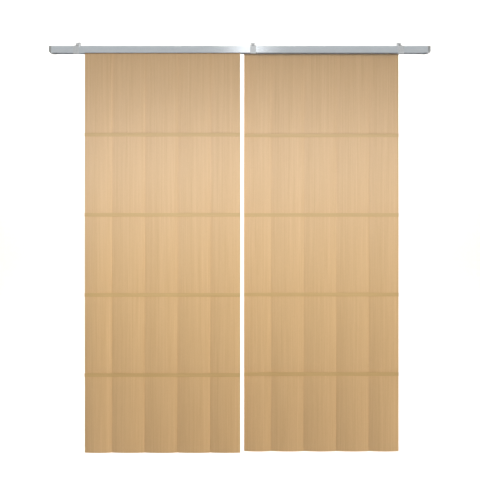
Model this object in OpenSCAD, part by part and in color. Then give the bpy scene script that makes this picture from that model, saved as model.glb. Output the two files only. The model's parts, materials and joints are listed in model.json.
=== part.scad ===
// Pair of sliding fabric panels with shoji-like bands, on a two-track aluminium headrail.
// X runs along the rail, -Y faces the room, +Z is up, and all sizes are in millimetres.
// The origin is the centre of the middle bracket's two wall holes, on the wall's face.

/* [Headrail] */
// Length of the headrail over its end caps
rail_l = 2000; // [1750:10:3000]
// Depth of the headrail, front to back
rail_d = 46; // [42:1:60]
// Height of the headrail's front face
rail_h = 37; // [35:1:50]
// Thickness of the extrusion's walls
rail_wall = 1.6; // [1.2:0.1:2]
// How much higher than the front face the rear wall ends
rear_wall_lift = 5; // [0:1:8]
// Width of each roller slot
slot_w = 6.5; // [6:0.1:8]
// Height of the roller slots' lips above the front face's lower edge
lip_z = 12.4; // [11.4:0.2:14]
// Free height of the roller channels
channel_h = 15.4; // [14.8:0.2:17]
// Depth of the small lip that turns in at the foot of the front face
foot_lip = 2.5; // [2:0.1:3]
// Radius of the front face's outer corners
rail_edge_r = 1.2; // [0.5:0.1:1.5]

/* [End caps] */
// Length of each end cap outside the extrusion
cap_l = 14; // [13:1:20]
// Radius of each end cap's lower outer corner
cap_r = 11; // [4:0.5:12]
// Wall of the moulded end cap
cap_wall = 2; // [1.5:0.1:3]
// Length of the tongues that plug into the roller channels
plug_l = 8; // [6:1:20]
// Clearance between a tongue and its channel, each side
plug_gap = 0.1; // [0.05:0.05:0.3]

/* [Wall brackets] */
// Distance from the middle bracket to the rail's centre, towards the right end
bracket_mid_offset = 70; // [0:1:120]
// Distance of the left bracket from the rail's left end
bracket_left_inset = 143; // [60:1:250]
// Distance of the right bracket from the rail's right end
bracket_right_inset = 156; // [60:1:250]
// Width of the brackets and of their clips
bracket_w = 30; // [28:1:45]
// Thickness of the bracket's steel
bracket_t = 2; // [1.5:0.1:3]
// Height of the wall leg's top above the rail's top
bracket_rise = 33; // [30:1:60]
// Diameter of the wall screw holes
wall_hole_d = 4.5; // [3.5:0.1:6]
// Distance between the two wall screw holes
wall_hole_spacing = 18; // [14:1:20]
// Height of the wall screw holes above the rail's top
wall_hole_up = 24; // [20:1:26]
// Corner radius of the bracket's legs
bracket_corner_r = 4; // [2:0.5:5]
// Thickness of the spring clip's steel
clip_t = 1.5; // [1:0.1:2]
// Length of the clip's finger tab below the rail's front face
clip_tab = 4; // [2:0.5:8]
// Gap between the wall and the rail's back
wall_gap = 4; // [4:0.5:8]

/* [Clamp screws] */
// Diameter of the clamp screw's knob
knob_d = 14; // [12:0.5:18]
// Height of the knob
knob_h = 9; // [6:0.5:12]
// Diameter of the clamp screw's shank
clamp_d = 4; // [3:0.5:5]
// Length of the adjusting slot in the bracket's arm
clamp_slot_l = 12; // [8:1:13]
// Number of grip flutes around the knob
knob_flutes = 14; // [8:1:20]

/* [Panels] */
// Width of each panel
panel_w = 816; // [500:5:860]
// Height of each panel's cloth, from its top edge to its hem
panel_drop = 2101; // [1900:1:2600]
// Gap between the two panels when they hang side by side
panel_gap = 20; // [5:1:40]
// Place of that gap's centre, to the right of the rail's centre
meeting_offset = 13; // [-20:0.5:20]
// Height of the cloth's top edge above the front face's lower edge
cloth_top = 4; // [2:0.5:4.5]
// Thickness of the woven cloth
cloth_t = 0.8; // [0.5:0.1:1]
// Width of the first strip, from the panel's left edge to the first pleat
first_strip = 142; // [60:1:170]
// Distance from one pleat to the next
pleat_pitch = 172; // [100:1:175]
// Number of pleats
pleat_count = 4; // [1:1:4]
// How far the cloth folds back under each pleat
pleat_under = 12; // [6:1:20]
// Gap between the plies of a pleat
pleat_gap = 0.2; // [0.1:0.1:0.4]
// How far a strip's crest stands forward of the pleat's lowest ply
strip_bulge = 3; // [2.5:0.1:4]
// Width of the narrow hems down the cloth's two side edges
side_hem = 8; // [5:1:15]

/* [Bands] */
// Height of the flat battens across the front
batten_h = 19; // [12:1:30]
// Thickness of the battens
batten_t = 2; // [1:0.5:3]
// Height of the lowest batten's centre above the hem
batten_first = 409; // [200:1:450]
// Distance from one batten to the next
batten_pitch = 420; // [300:1:450]

/* [Hem] */
// Height of the hem pocket
hem_h = 24; // [21:1:40]
// Height of the weight bar in the hem
weight_h = 18; // [12:1:18]
// Thickness of the weight bar
weight_t = 3; // [2:0.5:4]
// How far the weight bar stops short of each end of the hem
weight_inset = 5; // [2:1:20]
// Clearance around the weight bar
weight_gap = 0.3; // [0.2:0.1:1]

/* [Carrier bars] */
// Height of the carrier bar
bar_h = 25; // [24:1:40]
// Thickness of the carrier bar
bar_t = 3; // [2.5:0.1:3.5]
// Height of the bar's top edge above the front face's lower edge
bar_top = 11; // [10:0.1:11]
// Depth of the bar's groove for the hook tape
tape_groove = 0.6; // [0.3:0.1:1]
// Height of the hook and loop tapes
tape_h = 15; // [10:1:15]
// Thickness of the hook tape
hook_t = 1.2; // [0.8:0.1:1.5]
// Thickness of the loop tape
loop_t = 0.8; // [0.5:0.1:1]

/* [Roller trucks] */
// Distance of each truck from the panel's edge
truck_inset = 60; // [30:1:200]
// Length of the truck's hanger along the rail
hanger_l = 24; // [20:1:40]
// Thickness of the hanger where it passes the slot
hanger_t = 5.5; // [5:0.1:5.6]
// Radius of the rollers
roller_r = 7; // [6:0.1:7]
// Width of a roller's tread
roller_w = 4; // [3:0.1:4]
// Radius of a roller's hub
roller_hub_r = 3.2; // [2.5:0.1:4]
// Distance from the slot's centre to the inner face of a roller's tread
roller_in = 4.5; // [4.3:0.1:4.8]
// Diameter of the roller axles
axle_d = 3; // [2:0.1:3.5]
// Radial clearance of the axle in the hanger's bore
axle_gap = 0.05; // [0.02:0.01:0.1]
// Gap between the rollers and the lips they run on
run_gap = 0.2; // [0.1:0.1:0.4]
// Diameter of the rivets that hold the bar in the hanger
rivet_d = 3.2; // [2.5:0.1:4]
// Distance between a hanger's two rivets
rivet_spacing = 12; // [8:1:14]

/* [Hidden] */
$fn = 64;

// Colours of the materials
anodised = [0.70, 0.73, 0.76];
zinc = [0.76, 0.78, 0.80];
cap_grey = [0.66, 0.68, 0.70];
knob_black = [0.07, 0.07, 0.08];
straw = [0.86, 0.73, 0.55];
batten_tan = [0.80, 0.68, 0.47];
tape_white = [0.85, 0.84, 0.80];
nylon = [0.90, 0.90, 0.88];
steel = [0.60, 0.61, 0.63];

// Places in the row's frame
rail_x = -bracket_mid_offset;                 // centre of the rail
rail_z = -wall_hole_up - rail_h;              // lower edge of the front face
rail_top = rail_z + rail_h;
front_y = -wall_gap - rail_d;                 // outer front face of the rail
back_y = -wall_gap;                           // outer back face of the rail
end_left = rail_x - rail_l/2;
end_right = rail_x + rail_l/2;
extrusion_l = rail_l - 2*cap_l;
bracket_xs = [end_left + bracket_left_inset, 0, end_right - bracket_right_inset];

// The rail's channels
channel_w = (rail_d - 3*rail_wall)/2;
front_channel_y = front_y + rail_wall + channel_w/2;
rear_channel_y = back_y - rail_wall - channel_w/2;
lip_w = (channel_w - slot_w)/2;
lip_top = lip_z + rail_wall;
ceiling_z = lip_top + channel_h;
catch_t = 1.4;                                // height of the clip's rear catch
catch_in = 0.9;                               // how far that catch reaches into its groove
catch_gap = 0.2;
catch_z = ceiling_z + rail_wall/2 - catch_t/2;

// The panels
meeting_x = rail_x + meeting_offset;
left_x = meeting_x - panel_gap/2 - panel_w;   // left edge of the left panel
right_x = meeting_x + panel_gap/2;            // left edge of the right panel
cloth_top_z = rail_z + cloth_top;
hem_z = cloth_top_z - panel_drop;
bar_front = bar_t/2;                          // distances forward of a channel's centre
tape_floor = bar_front - tape_groove;
hook_front = tape_floor + hook_t;
cloth_back = hook_front + loop_t;
cloth_front = cloth_back + cloth_t + strip_bulge;
tape_gap = 0.5;                               // room above the hook tape in its groove
tape_z = cloth_top - 1 - tape_h;              // foot of the tapes above the front face's edge
hem_depth = weight_t + 2*weight_gap + cloth_t;

// A pleat is three plies: each fold turns round with this radius at the middle of the cloth
fold_r = (cloth_t + pleat_gap)/2;
fold_out = fold_r + cloth_t/2;                // how far a fold's outside stands past its axis
pleat_step = 4*fold_r;
crest_share = 1/(1 + sqrt(1 - pleat_step/strip_bulge));
strip_steps = 8;
fold_steps = 6;

// Rollers
axle_z = rail_z + lip_top + run_gap + roller_r;
hanger_foot = cloth_top + 1;                  // lowest edge of the hanger's fork
axle_l = 2*(roller_in + roller_w) + 1;
rivet_z = rail_z + (hanger_foot + bar_top)/2;

// Start and width of each strip of cloth
function strip_start(i) = i == 0 ? 0 : first_strip + (i - 1)*pleat_pitch;
function strip_end(i) = i < pleat_count ? first_strip + i*pleat_pitch : panel_w;

// Depth of the cloth's middle, forward of its back plane, at a share s of a strip's width.
// The first strip starts on top of the side hem, so it starts one fold higher.
function strip_depth(i, s) =
    cloth_t/2 + strip_bulge*(1 - pow((s - crest_share)/crest_share, 2))
    + (i == 0 ? 2*fold_r*pow(max(0, 1 - s/crest_share), 2) : 0);

// Points of one strip, from its start to its end; folds at the panel's edges stay inside its width
function strip_points(i) = [
    for (k = [0:strip_steps])
        let (
            a = i == 0 ? fold_out : strip_start(i),
            b = i == pleat_count ? panel_w - fold_out : strip_end(i),
            s = k/strip_steps
        )
        [a + s*(b - a), strip_depth(i, s)]
];

// A half turn at x about the depth d: turn = -1 goes over the right side and down, 1 over the left
function fold_points(x, d, turn) = [
    for (k = [0:fold_steps])
        let (a = 90 + turn*180*k/fold_steps)
        [x + fold_r*cos(a), d + fold_r*sin(a)]
];

// Points of the two folds of a pleat at x: back to the left, then on to the right
function pleat_points(x) = concat(
    [for (k = [1:fold_steps]) fold_points(x, cloth_t/2 + 3*fold_r, -1)[k]],
    fold_points(x - pleat_under, cloth_t/2 + fold_r, 1)
);

// The hems fold to the back at both edges
left_hem_line = concat(
    [[side_hem, cloth_t/2]],
    [for (k = [fold_steps:-1:1]) fold_points(fold_out, cloth_t/2 + fold_r, 1)[k]]
);
right_hem_line = concat(
    [for (k = [1:fold_steps]) fold_points(panel_w - fold_out, cloth_t/2 + 3*fold_r, -1)[k]],
    [[panel_w - side_hem, cloth_t/2 + 2*fold_r]]
);

// The middle line of the whole cloth, seen from above
cloth_line = concat(
    left_hem_line,
    [for (i = [0:pleat_count])
        each concat(strip_points(i), i < pleat_count ? pleat_points(strip_end(i)) : [])],
    right_hem_line
);

// The line moved sideways by d, with each point pushed along the mean of its two neighbours' normal
function sideways(line, d) = [
    for (k = [0:len(line) - 1])
        let (
            p = line[max(k - 1, 0)],
            q = line[min(k + 1, len(line) - 1)],
            run = q - p
        )
        line[k] + d*[-run[1], run[0]]/norm(run)
];
cloth_face = sideways(cloth_line, cloth_t/2);
cloth_rear = sideways(cloth_line, -cloth_t/2);

module rounded_square(w, h, r) {
    translate([r, 0]) square([w - 2*r, h]);
    translate([0, r]) square([w, h - 2*r]);
    for (x = [r, w - r], z = [r, h - r])
        translate([x, z]) circle(r);
}

// Turns a flat outline drawn in depth and height into a length along X
module along_x(length) {
    rotate([90, 0, 90]) linear_extrude(length) children();
}

// Turns a flat outline drawn in X and height into a depth along -Y
module along_y(depth) {
    rotate([90, 0, 0]) linear_extrude(depth) children();
}

// ---- Headrail ----

module rail_section() {
    intersection() {
        translate([front_y, 0]) rounded_square(rail_d, rail_h, rail_edge_r);
        union() {
            // front face with its foot lip, and rear wall
            translate([front_y, 0]) square([rail_wall, rail_h]);
            translate([front_y, 0]) square([rail_wall + foot_lip, rail_wall]);
            translate([back_y - rail_wall, rear_wall_lift])
                square([rail_wall, rail_h - rear_wall_lift]);
            // top, ceiling of the channels and web between them
            translate([front_y, rail_h - rail_wall]) square([rail_d, rail_wall]);
            translate([front_y, ceiling_z]) square([rail_d, rail_wall]);
            translate([front_y + rail_wall + channel_w, lip_z])
                square([rail_wall, rail_h - lip_z]);
            // lips on each side of the two roller slots
            for (y = [front_channel_y, rear_channel_y], side = [-1, 1])
                translate([y + side*(slot_w + lip_w)/2 - lip_w/2, lip_z])
                    square([lip_w, rail_wall]);
        }
    }
}

module rail() {
    color(anodised)
    difference() {
        translate([end_left + cap_l, 0, rail_z])
            along_x(extrusion_l) rail_section();
        // groove that the clips' rear catches snap into
        translate([end_left + cap_l - 1, back_y - catch_in - catch_gap, rail_z + catch_z - catch_gap])
            cube([extrusion_l + 2, catch_in + catch_gap + 1, catch_t + 2*catch_gap]);
    }
}

// Outline of the cap's end, seen along the rail: its foot rises to the lifted rear wall
module cap_end_outline(inset) {
    polygon([
        [front_y + inset, inset],
        [front_y + rail_wall + foot_lip, inset],
        [back_y - inset, rear_wall_lift + inset],
        [back_y - inset, rail_h - inset],
        [front_y + inset, rail_h - inset]
    ]);
}

// Outline of the cap seen from the front, with its round lower outer corner
module cap_front_outline(length, inset) {
    r = cap_r - inset;
    difference() {
        translate([0, inset]) square([length, rail_h - 2*inset]);
        translate([length - r, inset]) square([r, r]);
    }
    translate([length - r, inset + r]) intersection() {
        circle(r);
        translate([0, -r]) square([r, r]);
    }
}

// A cap for the right end, with x = 0 at the extrusion's end
module end_cap() {
    color(cap_grey) {
        difference() {
            intersection() {
                along_x(cap_l) cap_end_outline(0);
                translate([0, back_y, 0]) along_y(rail_d) cap_front_outline(cap_l, 0);
            }
            intersection() {
                translate([-1, 0, 0]) along_x(cap_l - cap_wall + 1) cap_end_outline(cap_wall);
                translate([-1, back_y, 0])
                    along_y(rail_d) cap_front_outline(cap_l - cap_wall + 1, cap_wall);
            }
        }
        for (y = [front_channel_y, rear_channel_y])
            translate([-plug_l, y - channel_w/2 + plug_gap, lip_top + plug_gap])
                cube([plug_l + cap_l - cap_wall/2, channel_w - 2*plug_gap, channel_h - 2*plug_gap]);
    }
}

module end_cap_left() {
    translate([end_left + cap_l, 0, rail_z]) mirror([1, 0, 0]) end_cap();
}

module end_cap_right() {
    translate([end_right - cap_l, 0, rail_z]) end_cap();
}

// ---- Wall brackets, clips and clamp screws ----

arm_z = rail_top + clip_t;                    // underside of the bracket's arm
clamp_back = 3;                               // clamp screws' place behind the rail's middle
clamp_y = front_y + rail_d/2 + clamp_back;
bend_r = bracket_t + 1;                       // outer radius of the bracket's bend
arm_short = 6;                                // how far the arm stops short of the rail's face
arm_reach = -front_y - arm_short;
clamp_gap = 0.2;                              // room for the clamp screw on each side of its slot

module bracket_section() {
    difference() {
        translate([-arm_reach, 0]) square([arm_reach, bracket_rise - clip_t]);
        translate([-arm_reach - 1, bracket_t])
            square([arm_reach + 1 - bracket_t, bracket_rise]);
        translate([-bend_r, 0]) square([bend_r, bend_r]);
    }
    // the bend itself, a quarter ring
    translate([-bend_r, bend_r]) intersection() {
        difference() {
            circle(bend_r);
            circle(bend_r - bracket_t);
        }
        translate([0, -bend_r]) square([bend_r, bend_r]);
    }
}

module bracket(x) {
    color(zinc)
    translate([x, 0, 0]) difference() {
        intersection() {
            translate([-bracket_w/2, 0, arm_z]) along_x(bracket_w) bracket_section();
            // rounded upper corners of the wall leg
            translate([-bracket_w/2, 1, arm_z - bracket_rise])
                along_y(arm_reach + 2)
                rounded_square(bracket_w, 2*bracket_rise - clip_t, bracket_corner_r);
            // rounded front corners of the arm
            translate([-bracket_w/2, -arm_reach, arm_z - 1])
                linear_extrude(bracket_rise + 2)
                rounded_square(bracket_w, 2*arm_reach, bracket_corner_r);
        }
        // wall screw holes
        for (side = [-1, 1])
            translate([side*wall_hole_spacing/2, 1, 0])
                rotate([90, 0, 0]) cylinder(h = bracket_t + 2, d = wall_hole_d);
        // adjusting slot for the clamp screw
        translate([0, clamp_y, arm_z - 1]) linear_extrude(bracket_t + 2) {
            slot_half = (clamp_slot_l - clamp_d)/2;
            translate([-clamp_d/2 - clamp_gap, -slot_half])
                square([clamp_d + 2*clamp_gap, 2*slot_half]);
            for (side = [-1, 1])
                translate([0, side*slot_half]) circle(d = clamp_d + 2*clamp_gap);
        }
    }
}

module clip_section() {
    // top plate on the rail
    translate([front_y - clip_t, 0]) square([rail_d + 2*clip_t, clip_t]);
    // front leg with its hook under the rail's face and its finger tab
    translate([front_y - clip_t, -rail_h - clip_tab]) square([clip_t, rail_h + clip_tab]);
    translate([front_y - clip_t, -rail_h - clip_t]) square([clip_t + foot_lip, clip_t]);
    // rear leg with its catch in the rail's groove
    rear_leg = rail_h - catch_z;
    translate([back_y, -rear_leg]) square([clip_t, rear_leg]);
    translate([back_y - catch_in, -rear_leg]) square([catch_in, catch_t]);
}

module clip(x) {
    color(zinc)
    translate([x - bracket_w/2, 0, rail_top]) difference() {
        along_x(bracket_w) clip_section();
        translate([bracket_w/2, clamp_y, -1]) cylinder(h = clip_t + 2, d = clamp_d + 0.1);
    }
}

module clamp_screw() {
    bevel = 1;
    flute_r = 1;
    flute_bite = 0.6;
    cylinder(h = clip_t + bracket_t, d = clamp_d);
    translate([0, 0, clip_t + bracket_t]) difference() {
        union() {
            cylinder(h = knob_h - bevel, d = knob_d);
            translate([0, 0, knob_h - bevel])
                cylinder(h = bevel, d1 = knob_d, d2 = knob_d - 2*bevel);
        }
        for (k = [0:knob_flutes - 1])
            rotate([0, 0, 360*k/knob_flutes])
                translate([knob_d/2 + flute_r - flute_bite, 0, -1])
                cylinder(h = knob_h + 2, r = flute_r);
    }
}

module clamp_screws() {
    color(knob_black)
    for (x = bracket_xs)
        translate([x, clamp_y, rail_top]) clamp_screw();
}

// ---- Cloth, battens and hem: x from the panel's left edge, y = 0 at the channel's centre ----

// Seen from above with depth towards the front, so it is mirrored into -Y when it is placed
module from_above(height) {
    mirror([0, 1, 0]) linear_extrude(height) children();
}

module cloth_outline() {
    polygon(concat(cloth_face, [for (k = [len(cloth_rear) - 1:-1:0]) cloth_rear[k]]));
}

module cloth() {
    color(straw) {
        translate([0, -cloth_back, hem_z]) from_above(panel_drop) cloth_outline();
        // the fold at the bottom of the hem, from the pleated face to the back ply
        translate([0, -cloth_back, hem_z]) from_above(cloth_t)
            polygon(concat(cloth_face, [[panel_w, -hem_depth], [0, -hem_depth]]));
        // the back ply, and the seam that closes the pocket above the bar
        translate([0, -cloth_back + hem_depth - cloth_t, hem_z])
            cube([panel_w, cloth_t, hem_h]);
        translate([0, -cloth_back - cloth_t/2, hem_z + hem_h - cloth_t])
            cube([panel_w, hem_depth + cloth_t/2, cloth_t]);
    }
}

module weight_bar() {
    color(steel)
    translate([
        weight_inset,
        -cloth_back + weight_gap,
        hem_z + cloth_t + (hem_h - 2*cloth_t - weight_h)/2
    ])
        cube([panel_w - 2*weight_inset, weight_t, weight_h]);
}

module batten(k) {
    color(batten_tan)
    translate([0, -cloth_front, hem_z + batten_first + (k - 1)*batten_pitch - batten_h/2])
        along_batten();
}

// A flat batten with slightly eased front edges
module along_batten() {
    ease = batten_t/4;
    along_x(panel_w) polygon([
        [0, 0],
        [0, batten_h],
        [-batten_t + ease, batten_h],
        [-batten_t, batten_h - ease],
        [-batten_t, ease],
        [-batten_t + ease, 0]
    ]);
}

// ---- Carrier bar with its tapes ----

module carrier_bar() {
    color(anodised)
    translate([0, -bar_front, rail_z + bar_top - bar_h]) difference() {
        cube([panel_w, bar_t, bar_h]);
        translate([-1, -1, tape_z - tape_gap - (bar_top - bar_h)])
            cube([panel_w + 2, tape_groove + 1, tape_h + 2*tape_gap]);
    }
}

module hook_tape() {
    color(tape_white)
    translate([0, -hook_front, rail_z + tape_z]) cube([panel_w, hook_t, tape_h]);
}

module loop_tape() {
    color(tape_white)
    translate([0, -cloth_back, rail_z + tape_z]) cube([panel_w, loop_t, tape_h]);
}

// ---- Roller trucks: x = 0 at the truck's centre, y = 0 at the channel's centre ----

module hanger() {
    over_axle = 2.5;                          // material above the axle's bore
    shoulder = 4;                             // how far the wide part rises past the slot's lips
    body_top = axle_z + axle_d/2 + over_axle;
    color(nylon)
    difference() {
        union() {
            // fork, neck through the slot, and head that holds the axle
            translate([-hanger_l/2, -hanger_t/2, rail_z + hanger_foot])
                cube([hanger_l, hanger_t, lip_z + shoulder - hanger_foot]);
            translate([-hanger_l/4, -hanger_t/2, rail_z + hanger_foot])
                cube([hanger_l/2, hanger_t, body_top - rail_z - hanger_foot]);
        }
        // the fork's gap for the carrier bar
        translate([-hanger_l/2 - 1, -bar_t/2, rail_z + hanger_foot - 1])
            cube([hanger_l + 2, bar_t, bar_top - hanger_foot + 1]);
        translate([0, hanger_t, axle_z])
            rotate([90, 0, 0]) cylinder(h = 2*hanger_t, d = axle_d + 2*axle_gap);
        rivet_holes(hanger_t + 2);
    }
}

module rivet_holes(length) {
    for (side = [-1, 1])
        translate([side*rivet_spacing/2, length/2, rivet_z])
            rotate([90, 0, 0]) cylinder(h = length, d = rivet_d);
}

module rivet_pair() {
    head_t = 0.5;
    head_d = 1.7*rivet_d;
    color(steel) {
        rivet_holes(hanger_t + 2*head_t);
        for (side = [-1, 1], y = [-hanger_t/2, hanger_t/2 + head_t])
            translate([side*rivet_spacing/2, y, rivet_z])
                rotate([90, 0, 0]) cylinder(h = head_t, d = head_d);
    }
}

module axle() {
    color(steel)
    translate([0, axle_l/2, axle_z]) rotate([90, 0, 0]) cylinder(h = axle_l, d = axle_d);
}

// One roller: a tread, a thin web and a hub that keeps it off the hanger
module roller(side) {
    hub_gap = 0.25;                           // between the hub and the hanger
    hub_in = hanger_t/2 + hub_gap;
    web = roller_w/4;
    rim = 1.6;
    color(nylon)
    translate([0, 0, axle_z]) rotate([-90*side, 0, 0]) rotate_extrude() polygon([
        [axle_d/2, hub_in],
        [roller_hub_r, hub_in],
        [roller_hub_r, roller_in + roller_w/2 - web/2],
        [roller_r - rim, roller_in + roller_w/2 - web/2],
        [roller_r - rim, roller_in],
        [roller_r, roller_in],
        [roller_r, roller_in + roller_w],
        [roller_r - rim, roller_in + roller_w],
        [roller_r - rim, roller_in + roller_w/2 + web/2],
        [roller_hub_r, roller_in + roller_w/2 + web/2],
        [roller_hub_r, roller_in + roller_w],
        [axle_d/2, roller_in + roller_w]
    ]);
}

// ---- The two panels: each in its own channel ----

module in_left() {
    translate([left_x, front_channel_y, 0]) children();
}

module in_right() {
    translate([right_x, rear_channel_y, 0]) children();
}

module at_truck_a() {
    translate([truck_inset, 0, 0]) children();
}

module at_truck_b() {
    translate([panel_w - truck_inset, 0, 0]) children();
}

module carrier_bar_drilled() {
    difference() {
        carrier_bar();
        at_truck_a() rivet_holes(bar_t + 2);
        at_truck_b() rivet_holes(bar_t + 2);
    }
}

module rivets() {
    at_truck_a() rivet_pair();
    at_truck_b() rivet_pair();
}

rail();
end_cap_left();
end_cap_right();
bracket(bracket_xs[0]);  // bracket_left
bracket(bracket_xs[1]);  // bracket_mid
bracket(bracket_xs[2]);  // bracket_right
clip(bracket_xs[0]);  // clip_left
clip(bracket_xs[1]);  // clip_mid
clip(bracket_xs[2]);  // clip_right
clamp_screws();
in_left() carrier_bar_drilled();  // left_carrier_bar
in_left() hook_tape();  // left_hook_tape
in_left() loop_tape();  // left_loop_tape
in_left() cloth();  // left_cloth
in_left() weight_bar();  // left_weight_bar
in_left() batten(1);  // left_batten_1
in_left() batten(2);  // left_batten_2
in_left() batten(3);  // left_batten_3
in_left() batten(4);  // left_batten_4
in_left() at_truck_a() hanger();  // left_hanger_a
in_left() at_truck_b() hanger();  // left_hanger_b
in_left() rivets();  // left_rivets
in_left() at_truck_a() axle();  // left_axle_a
in_left() at_truck_a() roller(-1);  // left_roller_a_front
in_left() at_truck_a() roller(1);  // left_roller_a_back
in_left() at_truck_b() axle();  // left_axle_b
in_left() at_truck_b() roller(-1);  // left_roller_b_front
in_left() at_truck_b() roller(1);  // left_roller_b_back
in_right() carrier_bar_drilled();  // right_carrier_bar
in_right() hook_tape();  // right_hook_tape
in_right() loop_tape();  // right_loop_tape
in_right() cloth();  // right_cloth
in_right() weight_bar();  // right_weight_bar
in_right() batten(1);  // right_batten_1
in_right() batten(2);  // right_batten_2
in_right() batten(3);  // right_batten_3
in_right() batten(4);  // right_batten_4
in_right() at_truck_a() hanger();  // right_hanger_a
in_right() at_truck_b() hanger();  // right_hanger_b
in_right() rivets();  // right_rivets
in_right() at_truck_a() axle();  // right_axle_a
in_right() at_truck_a() roller(-1);  // right_roller_a_front
in_right() at_truck_a() roller(1);  // right_roller_a_back
in_right() at_truck_b() axle();  // right_axle_b
in_right() at_truck_b() roller(-1);  // right_roller_b_front
in_right() at_truck_b() roller(1);  // right_roller_b_back
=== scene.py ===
"""Looks for the pair of sliding fabric panels on their headrail.

The metal, plastic and timber pieces are the frame's own nodes with better materials. The two pleated
cloths are modelled here, fold by fold, in the place of their CAD solids, with the hems' stitching.
All lengths are in metres, in the shared frame: +X along the rail, -Y to the room, +Z up.
"""

import json
import math

import bpy
import numpy as np
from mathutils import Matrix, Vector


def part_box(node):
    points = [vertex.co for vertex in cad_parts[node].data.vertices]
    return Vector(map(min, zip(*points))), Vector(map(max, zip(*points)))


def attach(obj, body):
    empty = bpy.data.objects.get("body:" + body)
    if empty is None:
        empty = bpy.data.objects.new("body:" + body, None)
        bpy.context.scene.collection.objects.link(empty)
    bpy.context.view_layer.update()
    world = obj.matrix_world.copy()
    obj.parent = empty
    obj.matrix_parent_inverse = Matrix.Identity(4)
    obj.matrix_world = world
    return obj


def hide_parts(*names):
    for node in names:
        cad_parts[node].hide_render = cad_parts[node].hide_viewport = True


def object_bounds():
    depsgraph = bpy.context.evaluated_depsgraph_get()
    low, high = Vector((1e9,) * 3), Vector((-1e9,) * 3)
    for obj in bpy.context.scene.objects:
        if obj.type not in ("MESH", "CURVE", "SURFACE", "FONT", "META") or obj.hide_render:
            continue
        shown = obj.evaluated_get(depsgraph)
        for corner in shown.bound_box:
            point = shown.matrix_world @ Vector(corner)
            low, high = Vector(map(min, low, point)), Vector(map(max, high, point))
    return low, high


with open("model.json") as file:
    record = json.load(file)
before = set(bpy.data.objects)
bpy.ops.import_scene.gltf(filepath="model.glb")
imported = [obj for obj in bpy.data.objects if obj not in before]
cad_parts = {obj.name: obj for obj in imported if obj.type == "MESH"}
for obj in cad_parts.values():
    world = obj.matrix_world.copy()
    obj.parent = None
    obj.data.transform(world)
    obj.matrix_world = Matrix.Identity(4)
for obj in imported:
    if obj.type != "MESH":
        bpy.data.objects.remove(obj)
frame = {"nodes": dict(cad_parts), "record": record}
cad_low, cad_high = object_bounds()

MM = 0.001
SIDES = ("left", "right")

# ---- Sizes of the cloth, the same as in the part's source ----
CLOTH_T = 0.8 * MM
FIRST_STRIP = 142 * MM
PLEAT_PITCH = 172 * MM
PLEAT_COUNT = 4
PLEAT_UNDER = 12 * MM
PLY_PITCH = 1.0 * MM            # from one ply of a pleat to the next
SIDE_HEM = 8 * MM
BATTEN_COUNT = 4
HEM_POCKET = 4.4 * MM           # depth of the hem pocket behind the cloth's back plane
HEM_TURN_UP = 24 * MM

# ---- Sizes that follow from those ----
FOLD_R = PLY_PITCH / 2
FOLD_OUT = FOLD_R + CLOTH_T / 2
PLEAT_STEP = 4 * FOLD_R
HUMP_UNDER_BATTEN = 1.87 * MM   # the arch of a strip whose crest just touches a batten

# ---- How the cloth hangs ----
# Each is (share of the way down the cloth, how far a strip arches there in mm).
HUMPS = ((0.0, 0.1), (0.04, 0.3), (0.18, 2.1), (0.35, 2.9), (0.65, 3.9), (1.0, 5.2))
PRESSED_FLAT = 11 * MM          # a batten holds the cloth flat this far from its middle
PRESSED_BLEND = 39 * MM         # and its hold fades out over this much more
LIFT_SHARE = 0.6                # the first strip's side hem lifts it over this share of its width
CALM_DROP = 0.3                 # the ripples grow to their full height over this drop
PLEAT_LEAN = 3.5 * MM           # how far the pleats lean to the left at the hem
WAVE_COUNT = 7                  # waves that add up to one cloth's ripple
PINCH = 0.35 * MM               # how far the hem's seam draws the cloth in
PINCH_DROP = 3 * MM             # from the top of the turn-up down to the seam
PINCH_H = 2.5 * MM              # how far up and down from the seam that reaches
TURN_H = 3.2 * MM               # the hem starts to turn under at this height above its foot
TURN_DROP = 1.2 * MM            # a ply at the pocket's middle turns this far below that height
TURN_SPREAD = 0.3               # and one in front of it goes lower by this share of the distance
SQUASH = 0.45                   # the turned-under ply's depth, as a share of the face ply's
SEAM_LEAN = 1.0 * MM            # how far the turned-up ply comes forward to the seam

# ---- Mesh density ----
# Columns across one strip, with one more beside each edge so that the folds stay crisp.
STRIP_SHARES = (0.0, 0.004, *(k / 18 for k in range(1, 18)), 0.996, 1.0)
FOLD_STEPS = 6
ROWS = 190
HEM_TURN_STEPS = 8
HEM_BACK_STEPS = 4

# ---- Stage and light ----
FLOOR_DROP = 0.25               # from the hems down to the floor
FLOOR_HALF = 9.0                # half the floor's width, and its reach in front
LEVEL_Y = -2.0                  # in front of here the floor is shaded quite level
WALL_Y = 3.2
WALL_TOP = 6.0
SWEEP_R = 1.2                   # radius of the curve from the floor into the wall
SWEEP_STEPS = 12
PALE_SKY = (0.95, 0.98, 0.99, 1.0)


# ================================ Nodes and materials ================================

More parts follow.
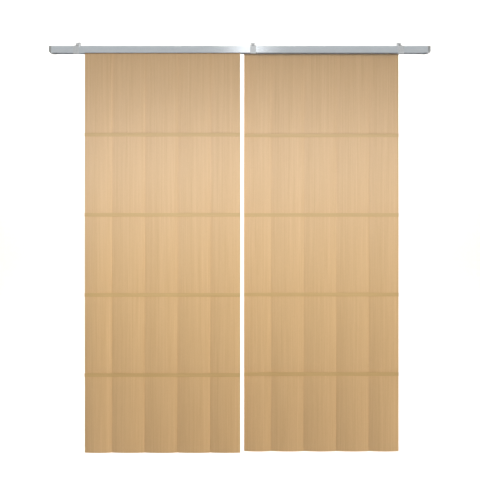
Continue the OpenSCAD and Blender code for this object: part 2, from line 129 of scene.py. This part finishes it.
class Shader:
    """A material under construction: a Principled BSDF and short ways to add nodes."""

    def __init__(self, name, **inputs):
        self.material = bpy.data.materials.new(name)
        self.material.use_nodes = True
        self.tree = self.material.node_tree
        self.bsdf = self.tree.nodes["Principled BSDF"]
        for key, value in inputs.items():
            self.bsdf.inputs[key.replace("_", " ")].default_value = value
        coordinates = self.tree.nodes.new("ShaderNodeTexCoord")
        self.place = coordinates.outputs["Object"]
        self.normal = coordinates.outputs["Normal"]

    def add(self, kind, **settings):
        node = self.tree.nodes.new("ShaderNode" + kind)
        for key, value in settings.items():
            setattr(node, key, value)
        return node

    def link(self, source, target):
        self.tree.links.new(source, target)

    def scaled(self, x, y, z):
        """Object coordinates multiplied along each axis, so 1/size gives features of that size."""
        node = self.add("Mapping")
        node.inputs["Scale"].default_value = (x, y, z)
        self.link(self.place, node.inputs["Vector"])
        return node.outputs["Vector"]

    def axis(self, vector, name):
        """One coordinate of a vector."""
        node = self.add("SeparateXYZ")
        self.link(vector, node.inputs["Vector"])
        return node.outputs[name]

    def noise(self, x, y, z, detail=3.0, rough=0.55, distortion=0.0):
        node = self.add("TexNoise")
        node.inputs["Scale"].default_value = 1.0
        node.inputs["Detail"].default_value = detail
        node.inputs["Roughness"].default_value = rough
        node.inputs["Distortion"].default_value = distortion
        self.link(self.scaled(x, y, z), node.inputs["Vector"])
        return node.outputs["Fac"]

    def bands(self, pitch, axis):
        """A smooth wave from 0 to 1, of that pitch along an axis."""
        node = self.add("TexWave", wave_type="BANDS", bands_direction=axis, wave_profile="SIN")
        node.inputs["Scale"].default_value = math.pi / 10 / pitch
        node.inputs["Distortion"].default_value = 0.0
        self.link(self.place, node.inputs["Vector"])
        return node.outputs["Fac"]

    def math(self, operation, a, b):
        node = self.add("Math", operation=operation)
        for socket, value in zip(node.inputs, (a, b)):
            if isinstance(value, (int, float)):
                socket.default_value = value
            else:
                self.link(value, socket)
        return node.outputs[0]

    def blend(self, a, share_a, b, share_b):
        """The two values added in the given shares."""
        return self.math("ADD", self.math("MULTIPLY", a, share_a), self.math("MULTIPLY", b, share_b))

    def range(self, value, low, high, to_low, to_high):
        """The value moved from the range low..high to the range to_low..to_high, and held in it."""
        node = self.add("MapRange", clamp=True)
        limits = {"From Min": low, "From Max": high, "To Min": to_low, "To Max": to_high}
        for key, number in limits.items():
            node.inputs[key].default_value = number
        self.link(value, node.inputs["Value"])
        return node.outputs["Result"]

    def ramp(self, value, *stops):
        """A colour ramp through stops of (place, (r, g, b))."""
        node = self.add("ValToRGB")
        elements = node.color_ramp.elements
        while len(elements) < len(stops):
            elements.new(0.5)
        for element, (place, colour) in zip(elements, stops):
            element.position = place
            element.color = (*colour, 1.0)
        self.link(value, node.inputs["Fac"])
        return node.outputs["Color"]

    def tint(self, colour, value, low, high):
        """The colour multiplied by a grey that runs from low to high with value."""
        grey = self.range(value, 0.0, 1.0, low, high)
        node = self.add("Mix", data_type="RGBA", blend_type="MULTIPLY")
        node.inputs["Factor"].default_value = 1.0
        self.link(colour, node.inputs["A"])
        self.link(grey, node.inputs["B"])
        return node.outputs["Result"]

    def colour(self, socket):
        self.link(socket, self.bsdf.inputs["Base Color"])

    def rough(self, value, low, high):
        self.link(self.range(value, 0.25, 0.75, low, high), self.bsdf.inputs["Roughness"])

    def bump(self, *layers):
        """Stacks bumps, each (height, distance in metres, strength), onto the shader's normal."""
        normal = None
        for height, distance, strength in layers:
            node = self.add("Bump")
            node.inputs["Distance"].default_value = distance
            node.inputs["Strength"].default_value = strength
            self.link(height, node.inputs["Height"])
            if normal is not None:
                self.link(normal, node.inputs["Normal"])
            normal = node.outputs["Normal"]
        self.link(normal, self.bsdf.inputs["Normal"])


def drawn_metal(name, dark, light, rough_low, rough_high, line=0.35 * MM):
    """A shader of metal with fine lines drawn along X and a slow mottle."""
    s = Shader(name, Metallic=1.0)
    lines = s.noise(2.5, 1 / line, 1 / line, detail=2.0)
    mottle = s.noise(14, 40, 40, detail=4.0)
    both = s.blend(lines, 0.6, mottle, 0.4)
    s.colour(s.ramp(both, (0.30, dark), (0.70, light)))
    s.rough(both, rough_low, rough_high)
    s.bump((lines, 0.02 * MM, 0.35))
    return s


def rail_material():
    """Anodised aluminium, with painted shade on the front lip's underside: the metal's colour there
    is darkened to stand in for the shadow under the rail.
    """
    s = drawn_metal("anodised_aluminium", (0.72, 0.75, 0.78), (0.82, 0.85, 0.88), 0.15, 0.19)
    metal = s.bsdf.inputs["Base Color"].links[0].from_socket
    # Both of the masks below are 0 only where the front lip looks down, and there the metal is tinted
    # down to 8% as painted shade.
    lip_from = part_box("rail")[0][1] + 12 * MM
    lip_to = lip_from + 10 * MM
    behind = s.range(s.axis(s.place, "Y"), lip_from, lip_to, 0.0, 1.0)
    upright = s.range(s.axis(s.normal, "Z"), -0.8, -0.3, 0.0, 1.0)
    # painted shade: the down-facing front of the rail is darkened, not dirtied
    s.colour(s.tint(metal, s.math("MAXIMUM", behind, upright), 0.08, 1.0))
    return s.material


def bar_material():
    s = drawn_metal("mill_aluminium", (0.56, 0.57, 0.59), (0.68, 0.69, 0.71), 0.34, 0.50)
    return s.material


def steel_material():
    s = drawn_metal("drawn_steel", (0.50, 0.51, 0.53), (0.64, 0.65, 0.67), 0.26, 0.42, 0.2 * MM)
    return s.material


def zinc_material():
    """Zinc-plated pressed steel: a satin mottle with faint spangles."""
    s = Shader("zinc_plated_steel", Metallic=1.0)
    spangle = s.add("TexVoronoi", feature="F1")
    spangle.inputs["Scale"].default_value = 1 / (2.2 * MM)
    s.link(s.place, spangle.inputs["Vector"])
    cells = spangle.outputs["Distance"]
    mottle = s.noise(160, 160, 160, detail=5.0)
    both = s.blend(cells, 0.35, mottle, 0.65)
    s.colour(s.ramp(both, (0.25, (0.68, 0.69, 0.70)), (0.75, (0.84, 0.85, 0.86))))
    s.rough(both, 0.26, 0.36)
    s.bump((mottle, 0.03 * MM, 0.3))
    return s.material


def moulded(name, dark, light, rough_low, rough_high, **inputs):
    """Moulded plastic with a fine spark-eroded grain and slight colour flow."""
    s = Shader(name, **inputs)
    grain = 1 / (0.5 * MM)
    fine = s.noise(grain, grain, grain, detail=2.0)
    flow = s.noise(45, 45, 45, detail=4.0)
    s.colour(s.ramp(flow, (0.3, dark), (0.7, light)))
    s.rough(fine, rough_low, rough_high)
    s.bump((fine, 0.04 * MM, 0.35), (flow, 0.1 * MM, 0.15))
    return s.material


def cap_material():
    return moulded("silver_grey_plastic", (0.40, 0.42, 0.43), (0.47, 0.49, 0.50), 0.38, 0.55)


def knob_material():
    return moulded("black_plastic", (0.014, 0.014, 0.016), (0.024, 0.024, 0.027), 0.40, 0.60)


def nylon_material():
    return moulded("natural_nylon", (0.78, 0.78, 0.74), (0.86, 0.86, 0.83), 0.32, 0.46,
                   Subsurface_Weight=0.15, Subsurface_Scale=2 * MM)


def cloth_material():
    """Straw-coloured woven paper cloth: upright yarns of uneven shade, bound by a fine weft."""
    s = Shader("straw_cloth", Sheen_Weight=0.25, Sheen_Roughness=0.55, Specular_IOR_Level=0.25)
    yarn = s.noise(1 / (1.6 * MM), 60, 5, detail=3.0, rough=0.6)
    streak = s.noise(1 / (7 * MM), 30, 1.4, detail=4.0, rough=0.7, distortion=0.2)
    fleck = s.noise(1 / (1.1 * MM), 60, 1 / (9 * MM), detail=2.0)
    shade = s.blend(yarn, 0.45, streak, 0.55)
    straw = s.ramp(shade,
                   (0.30, (0.660, 0.436, 0.232)),
                   (0.50, (0.718, 0.489, 0.272)),
                   (0.70, (0.776, 0.542, 0.312)))
    s.colour(s.tint(straw, fleck, 0.93, 1.06))
    s.rough(yarn, 0.66, 0.86)
    warp = s.bands(1.3 * MM, "X")
    weft = s.bands(1.0 * MM, "Z")
    weave = s.math("ADD", warp, s.math("MULTIPLY", weft, 0.5))
    s.bump((yarn, 0.25 * MM, 0.5), (weave, 0.12 * MM, 0.35))
    return s.material


def batten_material():
    """Flat olive-tan battens with a fine grain along their length."""
    s = Shader("olive_tan_batten", Specular_IOR_Level=0.35)
    grain = s.noise(6, 1 / (0.9 * MM), 1 / (0.9 * MM), detail=4.0, rough=0.6)
    broad = s.noise(2.2, 1 / (9 * MM), 1 / (9 * MM), detail=3.0)
    shade = s.blend(grain, 0.55, broad, 0.45)
    s.colour(s.ramp(shade,
                    (0.30, (0.575, 0.388, 0.185)),
                    (0.70, (0.675, 0.476, 0.242))))
    s.rough(grain, 0.50, 0.66)
    s.bump((grain, 0.08 * MM, 0.4))
    return s.material


def tape_material():
    """Hook and loop tape: a dense pile on a narrow woven band."""
    s = Shader("woven_tape", Sheen_Weight=0.4, Sheen_Roughness=0.6)
    loops = 1 / (0.6 * MM)
    pile = s.noise(loops, loops, loops, detail=2.0)
    ribs = s.bands(1.5 * MM, "X")
    s.colour(s.ramp(pile, (0.3, (0.66, 0.65, 0.61)), (0.7, (0.82, 0.81, 0.77))))
    s.rough(pile, 0.80, 0.95)
    s.bump((ribs, 0.15 * MM, 0.4), (pile, 0.3 * MM, 0.7))
    return s.material


def thread_material():
    """Polyester thread, a little darker than the cloth, with its twist as bump."""
    s = Shader("hem_thread", Sheen_Weight=0.3)
    fibres = 1 / (0.25 * MM)
    twist = s.noise(fibres, fibres, fibres, detail=2.0)
    s.colour(s.ramp(twist, (0.3, (0.44, 0.29, 0.14)), (0.7, (0.58, 0.40, 0.21))))
    s.rough(twist, 0.55, 0.75)
    s.bump((twist, 0.05 * MM, 0.5))
    return s.material


def dress_frame():
    """Gives every carried-over CAD node the material of its slot."""
    makers = {
        "rail_aluminium": rail_material,
        "cap_plastic": cap_material,
        "bracket_steel": zinc_material,
        "knob_black": knob_material,
        "batten_tan": batten_material,
        "tape_white": tape_material,
        "bar_aluminium": bar_material,
        "nylon": nylon_material,
        "bar_steel": steel_material,
    }
    made = {slot: make() for slot, make in makers.items()}
    for part in frame["record"]["subparts"]:
        material = made.get(part["material_slot"])
        if material is None:
            continue
        for slot in frame["nodes"][part["node"]].material_slots:
            slot.material = material


# ================================ The pleated cloths ================================

class Panel:
    """Where one panel's cloth hangs, and the shape of its face at any place and height."""

    def __init__(self, side, seed):
        self.side = side
        low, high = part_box(f"{side}_cloth")
        self.x0, self.width = low[0], high[0] - low[0]
        self.top, self.foot = high[2], low[2]
        self.back = high[1] - HEM_POCKET            # the cloth's back plane
        boxes = [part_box(f"{side}_batten_{k}") for k in range(1, BATTEN_COUNT + 1)]
        self.battens = [(a[2] + b[2]) / 2 for a, b in boxes]    # the height of each one's middle
        rng = np.random.default_rng(seed)
        self.waves = [
            (rng.uniform(3, 9), rng.uniform(2, 7), rng.uniform(0, 6.28), rng.uniform(0.06, 0.16) * MM)
            for _ in range(WAVE_COUNT)
        ]
        self.starts = [0.0] + [FIRST_STRIP + k * PLEAT_PITCH for k in range(PLEAT_COUNT)]
        self.ends = self.starts[1:] + [self.width]
        self.liveliness = rng.uniform(0.9, 1.1, PLEAT_COUNT + 1)

    def pressed(self, z):
        """1 behind a batten, falling smoothly to 0 where its hold has faded out."""
        away = min(abs(z - b) for b in self.battens)
        share = np.clip((away - PRESSED_FLAT) / PRESSED_BLEND, 0, 1)
        return 1 - share * share * (3 - 2 * share)

    def share_down(self, z):
        return (self.top - z) / (self.top - self.foot)

    def hump(self, strip, z):
        """How far a strip arches at height z: flat at the tape, held by the battens, free between."""
        free = np.interp(self.share_down(z), *zip(*HUMPS)) * MM * self.liveliness[strip]
        held = self.pressed(z)
        return free * (1 - held) + HUMP_UNDER_BATTEN * held

    def ripple(self, x, z):
        """Small waves of the whole cloth, calm at the top and behind the battens."""
        down = np.clip((self.top - z) / CALM_DROP, 0, 1)
        total = sum(a * np.sin(kx * x + kz * z + p) for kx, kz, p, a in self.waves)
        return total * down * (1 - self.pressed(z))

    def drift(self, x, z):
        """The pleats lean a little to the left on their way down."""
        across = x / self.width
        return -PLEAT_LEAN * self.share_down(z) ** 1.5 * np.clip(8 * across * (1 - across), 0, 1)

    def strip_depth(self, strip, share, z):
        """Depth of the cloth's middle at a share of a strip's width, forward of its back plane."""
        depth = CLOTH_T / 2 + PLEAT_STEP * share + 4 * self.hump(strip, z) * share * (1 - share)
        if strip == 0:
            depth = depth + 2 * FOLD_R * max(0.0, 1 - share / LIFT_SHARE) ** 2
        return depth

    def face(self, x, z):
        """The outermost face of the cloth at x along the panel and height z, as a Y value."""
        strip = int(np.searchsorted(self.ends[:-1], x, side="right"))
        share = (x - self.starts[strip]) / (self.ends[strip] - self.starts[strip])
        depth = self.strip_depth(strip, share, z) + CLOTH_T / 2
        return self.back - depth - self.ripple(x, z)


def half_turn(x, depth, turn, steps=range(FOLD_STEPS + 1)):
    """Points of a fold at x about a depth: turn -1 passes over the right side, 1 over the left."""
    angles = [math.pi / 2 + turn * math.pi * k / FOLD_STEPS for k in steps]
    return [(x + FOLD_R * math.cos(a), depth + FOLD_R * math.sin(a)) for a in angles]


def section(panel, z):
    """The cloth's middle line seen from above at height z, from side hem to side hem."""
    base = CLOTH_T / 2
    line = [(SIDE_HEM, base), (SIDE_HEM / 2, base)]
    line += half_turn(FOLD_OUT, base + FOLD_R, 1, range(FOLD_STEPS, 0, -1))
    last = len(panel.starts) - 1
    for strip, (a, b) in enumerate(zip(panel.starts, panel.ends)):
        a = FOLD_OUT if strip == 0 else a
        b = panel.width - FOLD_OUT if strip == last else b
        for share in STRIP_SHARES:
            line.append((a + share * (b - a), panel.strip_depth(strip, share, z)))
        line += half_turn(b, base + 3 * FOLD_R, -1, range(1, FOLD_STEPS + 1))
        if strip < last:
            line += half_turn(b - PLEAT_UNDER, base + FOLD_R, 1)
        else:
            line.append((panel.width - SIDE_HEM, base + 2 * FOLD_R))
    points = np.array(line)
    points[:, 1] += panel.ripple(points[:, 0], z)
    points[:, 0] += panel.drift(points[:, 0], z)
    return points


def outward(points):
    """Unit normals of a line, towards its face."""
    run = np.gradient(points, axis=0)
    run /= np.linalg.norm(run, axis=1)[:, None]
    return np.stack([-run[:, 1], run[:, 0]], axis=1)


def cloth_rows(panel):
    """Rows of (x, depth, z) for the face and for the back, down the cloth and round the hem."""
    turn_z = panel.foot + TURN_H
    hem_top = panel.foot + HEM_TURN_UP
    middle = -HEM_POCKET / 2 + CLOTH_T / 2          # depth of the hem pocket's middle
    face, back = [], []

    def put(points, normals, heights, sink=0.0):
        """Adds a row to the face and one to the back; sink moves the face's down, the back's up."""
        for rows, side in ((face, 0.5), (back, -0.5)):
            moved = points + side * CLOTH_T * normals
            level = np.zeros(len(points)) + heights - side * CLOTH_T * sink
            rows.append(np.column_stack([moved, level]))

    for k in range(ROWS + 1):
        z = panel.top + (turn_z - panel.top) * k / ROWS
        points = section(panel, z)
        points[:, 1] -= PINCH * math.exp(-((z - hem_top + PINCH_DROP) / PINCH_H) ** 2)
        put(points, outward(points), z)

    foot = section(panel, turn_z)
    normals = outward(foot)
    reach = foot[:, 1] - middle                     # how far each ply lies in front of the middle
    drop = TURN_DROP + TURN_SPREAD * reach
    for k in range(1, HEM_TURN_STEPS + 1):
        angle = math.pi * k / HEM_TURN_STEPS
        swing = math.cos(angle) * (1 if k * 2 < HEM_TURN_STEPS else SQUASH)
        points = np.column_stack([foot[:, 0], middle + reach * swing])
        put(points, normals * math.cos(angle), turn_z - drop * math.sin(angle), math.sin(angle))

    folded = np.column_stack([foot[:, 0], middle - SQUASH * reach])
    for k in range(1, HEM_BACK_STEPS + 1):
        share = k / HEM_BACK_STEPS
        points = folded + np.array([0.0, SEAM_LEAN * share ** 3])
        put(points, -normals, turn_z + (hem_top - turn_z) * share)
    return np.array(face), np.array(back)


def make_mesh(name, vertices, faces, material, flat_from=None):
    """A mesh object from vertices and faces; the faces from flat_from on are shaded flat."""
    mesh = bpy.data.meshes.new(name)
    mesh.from_pydata([tuple(v) for v in vertices], [], faces)
    smooth = np.ones(len(mesh.polygons), bool)
    if flat_from is not None:
        smooth[flat_from:] = False
    mesh.polygons.foreach_set("use_smooth", smooth)
    mesh.materials.append(material)
    mesh.update()
    obj = bpy.data.objects.new(name, mesh)
    bpy.context.scene.collection.objects.link(obj)
    return obj


def cloth(panel, material):
    """One panel's cloth as a closed sheet: its face, its back and the thin rim between them."""
    face, back = cloth_rows(panel)
    rows, columns = face.shape[:2]
    grid = np.arange(rows * columns).reshape(rows, columns)
    other = grid + rows * columns
    both = np.concatenate([face.reshape(-1, 3), back.reshape(-1, 3)])
    vertices = np.column_stack([panel.x0 + both[:, 0], panel.back - both[:, 1], both[:, 2]])

    def quads(g, flip):
        a, b, c, d = g[:-1, :-1], g[:-1, 1:], g[1:, 1:], g[1:, :-1]
        order = (a, b, c, d) if flip else (a, d, c, b)
        return np.stack([q.ravel() for q in order], axis=1).tolist()

    def rim(edge, twin, flip):
        quad = np.stack([edge[:-1], edge[1:], twin[1:], twin[:-1]], axis=1)
        return (quad[:, ::-1] if flip else quad).tolist()

    faces = quads(grid, False) + quads(other, True)
    rim_start = len(faces)
    faces += rim(grid[0], other[0], False) + rim(grid[-1], other[-1], True)
    faces += rim(grid[:, 0], other[:, 0], True) + rim(grid[:, -1], other[:, -1], False)
    return make_mesh(f"{panel.side}_panel_cloth", vertices, faces, material, rim_start)


def stitches(panel, material):
    """The row of stitches that closes the hem pocket, on the cloth's face."""
    height = panel.foot + HEM_TURN_UP - PINCH_DROP
    pitch, length, radius, sink = 4.0 * MM, 3.0 * MM, 0.22 * MM, 0.15 * MM
    margin = 4 * MM                                 # from the cloth's edge to the first stitch
    rings, sides = 5, 6
    vertices, faces = [], []
    for n in range(int((panel.width - 2 * margin) / pitch)):
        start = margin + n * pitch
        base = len(vertices)
        for r in range(rings):
            share = r / (rings - 1)
            x = start + share * length
            arch = math.sin(math.pi * share)
            y = panel.face(x, height) + sink - (sink + 0.5 * radius) * arch
            thick = radius * (0.75 + 0.25 * arch)
            for k in range(sides):
                angle = 2 * math.pi * k / sides
                across, up = thick * math.cos(angle), thick * math.sin(angle)
                vertices.append((panel.x0 + x, y + across, height + up))
        for r in range(rings - 1):
            for k in range(sides):
                a, b = base + r * sides + k, base + r * sides + (k + 1) % sides
                faces.append((a, b, b + sides, a + sides))
        faces.append(tuple(base + k for k in reversed(range(sides))))
        faces.append(tuple(base + (rings - 1) * sides + k for k in range(sides)))
    return make_mesh(f"{panel.side}_hem_stitching", vertices, faces, material)


def add_cloths():
    fabric, thread = cloth_material(), thread_material()
    for side, seed in zip(SIDES, (11, 23)):
        panel = Panel(side, seed)
        sheet = cloth(panel, fabric)
        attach(sheet, f"{side}_panel")
        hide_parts(f"{side}_cloth")
        seam = stitches(panel, thread)
        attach(seam, f"{side}_panel")


# ================================ Stage, light and camera ================================

def aim(obj, target):
    """Turns a light so that it shines at the target."""
    direction = np.array(target) - np.array(obj.location)
    obj.rotation_euler = (
        math.atan2(math.hypot(direction[0], direction[1]), -direction[2]),
        0.0,
        math.atan2(-direction[0], direction[1]),
    )


def aim_from(obj, azimuth, elevation, away=3.0):
    """Places a sun azimuth degrees right of the panels' normal, and points it at the origin."""
    a, e = math.radians(azimuth), math.radians(elevation)
    obj.location = (
        away * math.sin(a) * math.cos(e),
        -away * math.cos(a) * math.cos(e),
        away * math.sin(e),
    )
    aim(obj, (0.0, 0.0, 0.0))


def softbox(name, place, target, size, power, colour=(1.0, 1.0, 1.0)):
    """A rectangular light of size (width, height) and power in watts, hidden from the camera."""
    light = bpy.data.lights.new(name, "AREA")
    light.shape = "RECTANGLE"
    light.size, light.size_y = size
    light.energy = power
    light.color = colour
    obj = bpy.data.objects.new(name, light)
    obj.location = place
    aim(obj, target)
    obj.visible_camera = False
    bpy.context.scene.collection.objects.link(obj)


def add_stage():
    """A pale floor that sweeps up into a backdrop behind the panels."""
    floor_z = cad_low[2] - FLOOR_DROP
    curve_y = WALL_Y - SWEEP_R                      # where the floor starts to curve up
    outline = [(-FLOOR_HALF, floor_z), (LEVEL_Y, floor_z), (curve_y, floor_z)]
    for k in range(1, SWEEP_STEPS + 1):
        angle = math.pi / 2 * k / SWEEP_STEPS
        outline.append((curve_y + SWEEP_R * math.sin(angle),
                        floor_z + SWEEP_R * (1 - math.cos(angle))))
    outline.append((WALL_Y, WALL_TOP))
    vertices = [(x, y, z) for y, z in outline for x in (-FLOOR_HALF, FLOOR_HALF)]
    faces = [(2 * k, 2 * k + 1, 2 * k + 3, 2 * k + 2) for k in range(len(outline) - 1)]
    s = Shader("pale_paper", Roughness=0.9, Specular_IOR_Level=0.1)
    fibres = s.noise(30, 30, 30, detail=4.0)
    s.colour(s.ramp(fibres, (0.3, (0.90, 0.90, 0.90)), (0.7, (0.93, 0.93, 0.93))))
    make_mesh("sweep", vertices, faces, s.material)


def add_world():
    """A dim room: gloss sees pale walls all round, and the camera sees a pale background."""
    world = bpy.data.worlds.new("studio")
    world.use_nodes = True
    tree = world.node_tree
    rays = tree.nodes.new("ShaderNodeLightPath")

    def pale(node, strength):
        node.inputs["Color"].default_value = PALE_SKY
        node.inputs["Strength"].default_value = strength
        return node.outputs["Background"]

    shown = pale(tree.nodes["Background"], 0.05)
    for ray, strength in (("Is Glossy Ray", 0.6), ("Is Camera Ray", 0.8)):
        mix = tree.nodes.new("ShaderNodeMixShader")
        tree.links.new(rays.outputs[ray], mix.inputs["Fac"])
        tree.links.new(shown, mix.inputs[1])
        tree.links.new(pale(tree.nodes.new("ShaderNodeBackground"), strength), mix.inputs[2])
        shown = mix.outputs["Shader"]
    tree.links.new(shown, tree.nodes["World Output"].inputs["Surface"])
    bpy.context.scene.world = world


def add_lights():
    """Two strips on the cloths, a glint on the rail, the backdrop, the floor and a low side sun."""
    mid = (cad_low[0] + cad_high[0]) / 2
    cool, warm = (0.58, 0.70, 1.0), (1.0, 0.97, 0.72)
    softbox("near_strip", (mid, -0.65, -0.61), (mid, 0, -0.61), (2.6, 0.3), 6.5, cool)
    softbox("wide_strip", (mid, -1.1, -1.16), (mid, 0, -1.16), (3.0, 0.4), 7.5, warm)
    softbox("rail_glint", (mid + 0.085, -3.0, 1.0), (mid, 0, -0.05), (0.24, 0.5), 0.54)
    softbox("backdrop_light", (mid, 0.9, 2.6), (mid, 3.0, -1.0), (6.0, 1.2), 270)
    softbox("floor_light", (mid, -0.4, 3.2), (mid, -0.2, -2.2), (7.0, 3.5), 31)
    sun = bpy.data.lights.new("side_sun", "SUN")
    sun.energy = 2.3
    sun.color = (1.0, 0.88, 0.68)
    sun.angle = math.radians(12)
    obj = bpy.data.objects.new("side_sun", sun)
    aim_from(obj, azimuth=70, elevation=5)
    bpy.context.scene.collection.objects.link(obj)


def add_camera():
    """The camera looks level along +Y from a little above the panels' middle."""
    rail_low, rail_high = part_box("rail")
    aside, away, below = 0.0016, 3.10, 0.980        # from the rail's middle, front and foot
    data = bpy.data.cameras.new("camera")
    data.sensor_width = 36.0
    data.lens = 44.43
    obj = bpy.data.objects.new("camera", data)
    obj.location = (
        (rail_low[0] + rail_high[0]) / 2 + aside,
        rail_low[1] - away,
        rail_low[2] - below,
    )
    obj.rotation_euler = (math.pi / 2, 0.0, 0.0)
    bpy.context.scene.collection.objects.link(obj)
    bpy.context.scene.camera = obj


add_camera()
dress_frame()
add_cloths()
add_stage()
add_world()
add_lights()
bpy.context.scene.view_settings.view_transform = "Standard"
